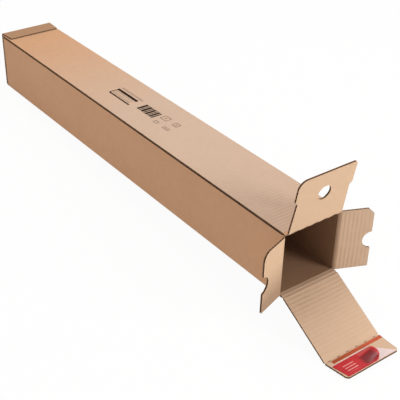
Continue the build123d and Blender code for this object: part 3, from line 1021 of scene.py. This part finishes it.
class TUBE_OT_top_flap(bpy.types.Operator):
    """Builds the top flap with its ears, finger hole and nicked crease"""

    bl_idname = "tube.top_flap"
    bl_label = "Top flap"

    def execute(self, context):
        flaps, tube = sizes_of("tube_flaps"), sizes_of("tube_walls")
        fold = flap_folds()["top"]
        outline = top_outline(flaps, tube, fold.origin.y + tube.wall_end)
        size, half_depth, shift = flaps.nick_length, flaps.nick_depth, flaps.nick_shift
        holes = [finger_hole(flaps), *nicks(flaps.top_root, flaps.nick_pitch, size, half_depth, shift)]
        made = flap_piece("top_flap_board", outline, fold, "inner_kraft", holes)
        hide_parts("top_flap")
        return {"FINISHED"}


class TUBE_OT_dust_flaps(bpy.types.Operator):
    """Builds the two notched dust flaps"""

    bl_idname = "tube.dust_flaps"
    bl_label = "Dust flaps"

    def execute(self, context):
        flaps, tube = sizes_of("tube_flaps"), sizes_of("tube_walls")
        sides = (
            ("left", flaps.left_dust_top, "left_dust_kraft"),
            ("right", flaps.right_dust_top, "ribbed_kraft"),
        )
        for side, top, inside in sides:
            fold = flap_folds()[side]
            outline = dust_outline(flaps, fold.origin.y + tube.wall_end, top, side == "left")
            made = flap_piece(side + "_dust_board", outline, fold, inside)
            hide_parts(side + "_dust_flap")
        return {"FINISHED"}


class TUBE_OT_closing_flap(bpy.types.Operator):
    """Builds the closing flap up to the strip before its lip's crease"""

    bl_idname = "tube.closing_flap"
    bl_label = "Closing flap"

    def execute(self, context):
        flaps, tube = sizes_of("tube_flaps"), sizes_of("tube_walls")
        fold = flap_folds()["closing"]
        start = fold.origin.y + tube.wall_end
        half, end = flaps.closing_half, flaps.closing_length - flaps.lip_split
        outline = mirrored([(-half, start), *notched_crease(half), (-half, end)])
        made = flap_piece("closing_board", outline, fold, "ribbed_kraft")
        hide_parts("closing_flap")
        return {"FINISHED"}


def lip_half_width(flaps, reach):
    """Half width of the lip at a distance from its crease."""
    share = reach / (flaps.lip_depth - flaps.lip_corner)
    return flaps.closing_half + (flaps.lip_half - flaps.closing_half) * share


class TUBE_OT_closing_lip(bpy.types.Operator):
    """Builds the tapered closing lip with its nicked crease"""

    bl_idname = "tube.closing_lip"
    bl_label = "Closing lip"

    def execute(self, context):
        flaps = sizes_of("tube_flaps")
        half, end, corner, depth = flaps.closing_half, flaps.lip_half, flaps.lip_corner, flaps.lip_depth
        outline = mirrored([
            (-half, -flaps.lip_split),
            *notched_crease(half),
            (-end, depth - corner),
            (-end + corner, depth),
        ])
        slits = nicks(half, flaps.nick_pitch, flaps.lip_nick_length, flaps.lip_nick_depth)
        fold = flap_folds()["lip"]
        made = flap_piece(
            "lip_board", outline, fold, "lip_kraft", slits=slits
        )
        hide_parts("closing_lip")
        return {"FINISHED"}


class Path:
    """A strip of board folded at right angles, drawn along a rounded line."""

    def __init__(self, points, across, radius):
        self.across = Vector(across)
        self.pieces = []
        points = [Vector(point) for point in points]
        at, position = 0.0, points[0]
        for i in range(1, len(points)):
            direction = (points[i] - points[i - 1]).normalized()
            last = i == len(points) - 1
            end = points[i] if last else points[i] - direction * radius
            size = (end - position).length
            self.pieces.append((at, at + size, position, direction, None))
            at += size
            if not last:
                after = (points[i + 1] - points[i]).normalized()
                bend = radius * math.pi / 2
                self.pieces.append((at, at + bend, end, direction, after))
                at += bend
                position = points[i] + after * radius
        self.radius, self.length = radius, at

    def creases(self):
        """Middles of the bends, along the strip."""
        return [(piece[0] + piece[1]) / 2 for piece in self.pieces if piece[4] is not None]

    def place(self, across, along, depth):
        """Point on the folded strip; positive depth is the inside of its bends."""
        piece = next((p for p in self.pieces if along <= p[1]), self.pieces[-1])
        start, _, position, direction, after = piece
        if after is None:
            point = position + direction * (along - start) + self.inside_of(direction) * depth
        else:
            swing = (along - start) / self.radius
            outward = -after * math.cos(swing) + direction * math.sin(swing)
            point = position + after * self.radius + outward * (self.radius - depth)
        return point + self.across * across

    def inside_of(self, direction):
        """Side that the next or last bend turns towards."""
        for piece in self.pieces:
            if piece[4] is not None and (piece[3] - direction).length < 1e-4:
                return piece[4]
            if piece[4] is not None and (piece[4] - direction).length < 1e-4:
                return -piece[3]
        raise ValueError("a path needs a bend at each straight piece")


def shut_piece(name, outline, path, holes=(), outside="outer_kraft"):
    """One layer of the shut end."""
    bm = corrugated(outline, path.creases(), path.place, holes)
    made = finish_piece(bm, name, board_looks(outside), smooth_angle=40)
    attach(made, "tube")


class TUBE_OT_shut_end(bpy.types.Operator):
    """Builds the far end: dust flaps, top flap and closing flap, folded in and glued"""

    bl_idname = "tube.shut_end"
    bl_label = "Shut end"

    def execute(self, context):
        flaps, tube, board = sizes_of("tube_flaps"), sizes_of("tube_walls"), sizes_of("tube_board")
        half_board, radius = board.thickness / 2, tube.shut_fold_radius
        dust_y, top_y, outer_y = [tube.shut_inside + half_board + i * board.thickness for i in range(3)]

        # Dust flaps, inside the walls
        x = tube.half_width - half_board
        low, high = board.thickness + SHUT_GAP, tube.height - board.thickness - SHUT_GAP
        for side, name in ((-1, "left_shut_dust"), (1, "right_shut_dust")):
            far = side * (x - flaps.dust_length)
            corners = [(side * x, tube.wall_end, 0), (side * x, dust_y, 0), (far, dust_y, 0)]
            path = Path(corners, (0, 0, 1), radius)
            end = path.length
            notch_at = path.creases()[0] + flaps.notch_reach
            edge = notched_edge(flaps, flaps.hole_height, end, notch_at)
            shut_piece(name, [(low, 0.0), (high, 0.0), (high, end), *edge, (low, end)], path)

        # Top flap, folded down
        z = tube.height - half_board
        corners = [(0, tube.wall_end, z), (0, top_y, z), (0, top_y, z - flaps.top_length)]
        path = Path(corners, (1, 0, 0), radius)
        crease = path.creases()[0]
        outline = top_outline(flaps, tube, 0.0, crease)
        shut_piece("shut_top_flap", outline, path, [finger_hole(flaps, crease)])

        # Closing flap, up from the base and over onto the top panel
        z = tube.height + half_board
        lip_end = tube.shut_inside + 3 * board.thickness - tube.shut_lip_depth
        low = half_board
        corners = [(0, tube.wall_end, low), (0, outer_y, low), (0, outer_y, z), (0, lip_end, z)]
        path = Path(corners, (1, 0, 0), radius)
        half, last = flaps.closing_half, path.creases()[-1]
        outline = mirrored([(-half, 0.0), (-half, last), (-tube.shut_lip_half, path.length)])
        shut_piece("shut_closing_flap", outline, path, outside="shut_kraft")
        return {"FINISHED"}


class TUBE_OT_print_marks(bpy.types.Operator):
    """Lays plain printed bars and stripes on the top panel"""

    bl_idname = "tube.print_marks"
    bl_label = "Print marks"

    def execute(self, context):
        top = sizes_of("tube_walls").height
        bars, along = list(BARS), STRIPE_START
        for reach in STRIPES:
            bars.append((STRIPE_AT, along - reach / 2, STRIPE_WIDTH, reach))
            along -= reach + STRIPE_GAP
        bm = bmesh.new()
        for x, y, width, reach in bars:
            size = Matrix.Diagonal((width, reach, INK_HEIGHT, 1.0))
            bmesh.ops.create_cube(bm, size=1.0, matrix=Matrix.Translation((x, y, top)) @ size)
        made = finish_piece(bm, "print_marks", ["print_ink"])
        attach(made, "tube")
        return {"FINISHED"}


def lip_layer(name, outline, thickness, looks, node, depth_at=None, cuts=()):
    """Layer on the lip's inner face, flat or lifted by depth_at(across, along)."""
    fold, base = flap_folds()["lip"], sizes_of("tube_board").thickness / 2
    outward, inside = fold.tangent()
    bm = bmesh.new()
    fill_outline(bm, outline)
    for axis, places in enumerate(cuts):
        cut_at(bm, axis, places)
    thicken(bm, thickness)
    write_uv(bm)
    for vert in bm.verts:
        across, along, layer = vert.co
        depth = base + layer + (depth_at(across, along) if depth_at else LAYER_GAP)
        vert.co = fold.origin + fold.across * across + outward * along + inside * depth
    made = finish_piece(bm, name, [looks], smooth_angle=50)
    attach(made, "lip_body")
    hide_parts(node)


class TUBE_OT_tear_strip(bpy.types.Operator):
    """Lays the orange tear strip beside the lip's fold"""

    bl_idname = "tube.tear_strip"
    bl_label = "Tear strip"

    def execute(self, context):
        flaps, lip = sizes_of("tube_flaps"), sizes_of("tube_lip")
        start, end = lip.strip_start, lip.strip_end
        left = -flaps.closing_half + lip.strip_margin
        outline = [
            (left, start),
            (lip_half_width(flaps, start), start),
            (lip_half_width(flaps, end), end),
            (left, end),
        ]
        lip_layer(
            "tear_tape_strip", outline, lip.strip_thickness, "tape_weave", "tear_strip"
        )
        return {"FINISHED"}


class TUBE_OT_adhesive(bpy.types.Operator):
    """Lays the band of glue, which leaves the lip's right corner bare"""

    bl_idname = "tube.adhesive"
    bl_label = "Adhesive"

    def execute(self, context):
        lip = sizes_of("tube_lip")
        outline = [
            (-lip.glue_start_half, lip.glue_start),
            (lip.glue_bare, lip.glue_start),
            (lip.glue_end_half, lip.glue_end),
            (-lip.glue_end_half, lip.glue_end),
        ]
        lip_layer("glue_band", outline, lip.glue_thickness, "glue", "adhesive_strip")
        return {"FINISHED"}


def round_of_liner(lip):
    """Radius of the film's free corner, tangent to its end and rounded over a given reach."""
    return (ROUND_INSET ** 2 + lip.liner_round ** 2) / (2 * ROUND_INSET)


class TUBE_OT_release_liner(bpy.types.Operator):
    """Builds the red liner, flat on the glue and lifted into an arch at its peeled end"""

    bl_idname = "tube.release_liner"
    bl_label = "Release liner"

    def execute(self, context):
        lip = sizes_of("tube_lip")
        low, high, end = lip.liner_start, lip.glue_end, lip.liner_end
        radius = round_of_liner(lip)
        swing = math.degrees(math.asin(lip.liner_round / radius))
        outline = [
            (-lip.liner_start_half, low),
            (end, low),
            (end, high - lip.liner_round),
            Turn((end - radius, high - lip.liner_round), swing, 12),
            (-lip.glue_end_half, high),
        ]

        def film_depth(across, along):
            share = max(0.0, (across - lip.liner_flat_end) / (end - lip.liner_flat_end))
            t = min(1.0, max(0.0, (along - low) / (high - low)))
            arch = max(0.0, 1 - abs(2 * t - 1) ** ARCH_FULLNESS[t >= 0.5])
            return lip.glue_thickness + FILM_GAP + lip.liner_lift * share ** ARCH_RISE * arch

        cuts = (steps(-lip.liner_start_half, end, FILM_STEPS[0]), steps(low, high, FILM_STEPS[1]))
        lip_layer(
            "liner_film_sheet", outline, lip.liner_thickness, "liner_sheet",
            "release_liner", film_depth, cuts,
        )
        return {"FINISHED"}


def add_white(tree, surface, white, share):
    """Shows white to the camera, reflections and glass, and leaves the light as it is."""
    path = add_node(tree, "ShaderNodeLightPath")
    seen = add_math(tree, "MAXIMUM", path.outputs["Is Camera Ray"], path.outputs["Is Glossy Ray"])
    seen = add_math(tree, "MAXIMUM", seen, path.outputs["Is Transmission Ray"])
    inputs = {0: multiply(tree, seen, share), 1: surface, 2: white}
    return add_node(tree, "ShaderNodeMixShader", inputs).outputs[0]


class TUBE_OT_stage(bpy.types.Operator):
    """Sets up the floor, the lamps, the world and the camera"""

    bl_idname = "tube.stage"
    bl_label = "Stage"

    def execute(self, context):
        scene, stage = context.scene, context.scene.tube_stage
        near, far = Vector(stage.floor_near), Vector(stage.floor_far)
        tilt = math.atan2(far.z - near.z, far.y - near.y)
        bm = bmesh.new()
        matrix = Matrix.Translation((near + far) / 2) @ Matrix.Rotation(tilt, 4, "X")
        bmesh.ops.create_grid(bm, x_segments=1, y_segments=1, size=stage.floor_size, matrix=matrix)
        floor = add_object("floor", mesh_from(bm, "floor"))
        material, tree, shader = new_material("floor", 0.9)
        pale = scene.tube_colours.floor
        paint(tree, shader, add_grain(tree, 3.0), rgba(pale), rgba(pale, 0.97))
        white = add_node(tree, "ShaderNodeEmission", {"Color": WHITE, "Strength": 1.0}).outputs[0]
        mixed = add_white(tree, shader.outputs[0], white, FLOOR_WHITE)
        tree.links.new(mixed, tree.nodes["Material Output"].inputs["Surface"])
        floor.data.materials.append(material)

        world = bpy.data.worlds.new("studio")
        world.use_nodes = True
        tree = world.node_tree
        background = tree.nodes["Background"]
        background.inputs["Color"].default_value = WORLD_COLOUR
        background.inputs["Strength"].default_value = stage.world_level
        white = add_node(tree, "ShaderNodeBackground", {"Color": WHITE, "Strength": 1.0}).outputs[0]
        mixed = add_white(tree, background.outputs[0], white, 1.0)
        tree.links.new(mixed, tree.nodes["World Output"].inputs["Surface"])
        scene.world = world

        # Name, place in metres, size in metres, watts and colour of each lamp
        lamps = (
            ("key_lamp", (0.4, 0.1, 2.2), 1.2, stage.key_power, (1.0, 0.98, 0.95)),
            ("front_lamp", (1.0, -2.3, 1.0), 1.0, stage.front_power, (1.0, 0.98, 0.95)),
            ("left_lamp", (-2.0, 0.3, 0.8), 1.2, stage.left_power, (1.0, 0.98, 0.96)),
        )
        for name, at, size, power, colour in lamps:
            data = bpy.data.lights.new(name, "AREA")
            data.shape, data.size, data.energy, data.color = "DISK", size, power, colour
            lamp = add_object(name, data)
            lamp.location = at
            direction = Vector(LAMP_TARGET) - Vector(at)
            lamp.rotation_euler = direction.to_track_quat("-Z", "Y").to_euler()

        camera = add_object("camera", bpy.data.cameras.new("camera"))
        right, down = Vector(stage.camera_right), Vector(stage.camera_down)
        turn = Matrix((right, -down, right.cross(-down))).transposed().to_4x4()
        camera.matrix_world = Matrix.Translation(stage.camera_at) @ turn
        camera.data.lens = stage.lens
        camera.data.sensor_width = 36.0
        camera.data.clip_end = 50.0
        scene.camera = camera
        scene.view_settings.view_transform = "Standard"
        return {"FINISHED"}


OPERATORS = (
    TUBE_OT_walls,
    TUBE_OT_shut_end,
    TUBE_OT_top_flap,
    TUBE_OT_dust_flaps,
    TUBE_OT_closing_flap,
    TUBE_OT_closing_lip,
    TUBE_OT_print_marks,
    TUBE_OT_tear_strip,
    TUBE_OT_adhesive,
    TUBE_OT_release_liner,
    TUBE_OT_stage,
)


class TUBE_PT_panel(bpy.types.Panel):
    """Buttons for each piece of the tube"""

    bl_idname = "TUBE_PT_panel"
    bl_label = "Mailing tube"
    bl_space_type = "VIEW_3D"
    bl_region_type = "UI"
    bl_category = "Tube"

    def draw(self, context):
        for operator in OPERATORS:
            self.layout.operator(operator.bl_idname)


CLASSES = (*PROP_GROUPS.values(), *OPERATORS, TUBE_PT_panel)


def register():
    """Registers the classes and hangs their settings on the scene."""
    for cls in CLASSES:
        bpy.utils.register_class(cls)
    for name, group in PROP_GROUPS.items():
        setattr(bpy.types.Scene, name, bpy.props.PointerProperty(type=group))


def unregister():
    """Takes the settings and the classes away again."""
    for name in PROP_GROUPS:
        delattr(bpy.types.Scene, name)
    for cls in reversed(CLASSES):
        bpy.utils.unregister_class(cls)


def main():
    """Builds every piece and sets up the stage."""
    register()
    bpy.ops.tube.walls()
    bpy.ops.tube.shut_end()
    bpy.ops.tube.top_flap()
    bpy.ops.tube.dust_flaps()
    bpy.ops.tube.closing_flap()
    bpy.ops.tube.closing_lip()
    bpy.ops.tube.print_marks()
    bpy.ops.tube.tear_strip()
    bpy.ops.tube.adhesive()
    bpy.ops.tube.release_liner()
    bpy.ops.tube.stage()


if __name__ == "__main__":
    main()
